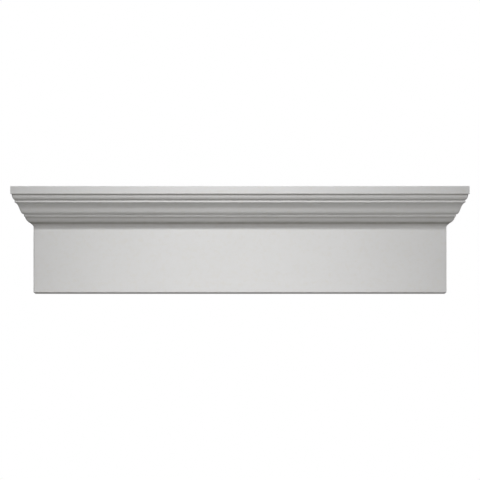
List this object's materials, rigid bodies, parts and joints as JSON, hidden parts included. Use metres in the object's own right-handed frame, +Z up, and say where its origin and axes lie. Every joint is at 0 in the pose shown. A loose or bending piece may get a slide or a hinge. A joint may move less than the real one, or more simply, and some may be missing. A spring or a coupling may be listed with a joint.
{
  "type": "door pediment",
  "caption": "Straight moulded crosshead with a mitred cornice over a plain frieze, fixed to the wall above a door or window.",
  "frame": {"origin": "middle of the flat back, halfway along it and halfway up it, on the wall's plane", "axes": "+X along the length, to the right as seen from the front; +Y into the wall; +Z up; the front looks along -Y"},
  "size_m": [1.1306, 0.0828, 0.267],
  "materials": {
    "primed_foam": "satin white factory primer over moulded polyurethane"
  },
  "bodies": {
    "root": {"pediment": "primed_foam"}
  },
  "joints": []
}
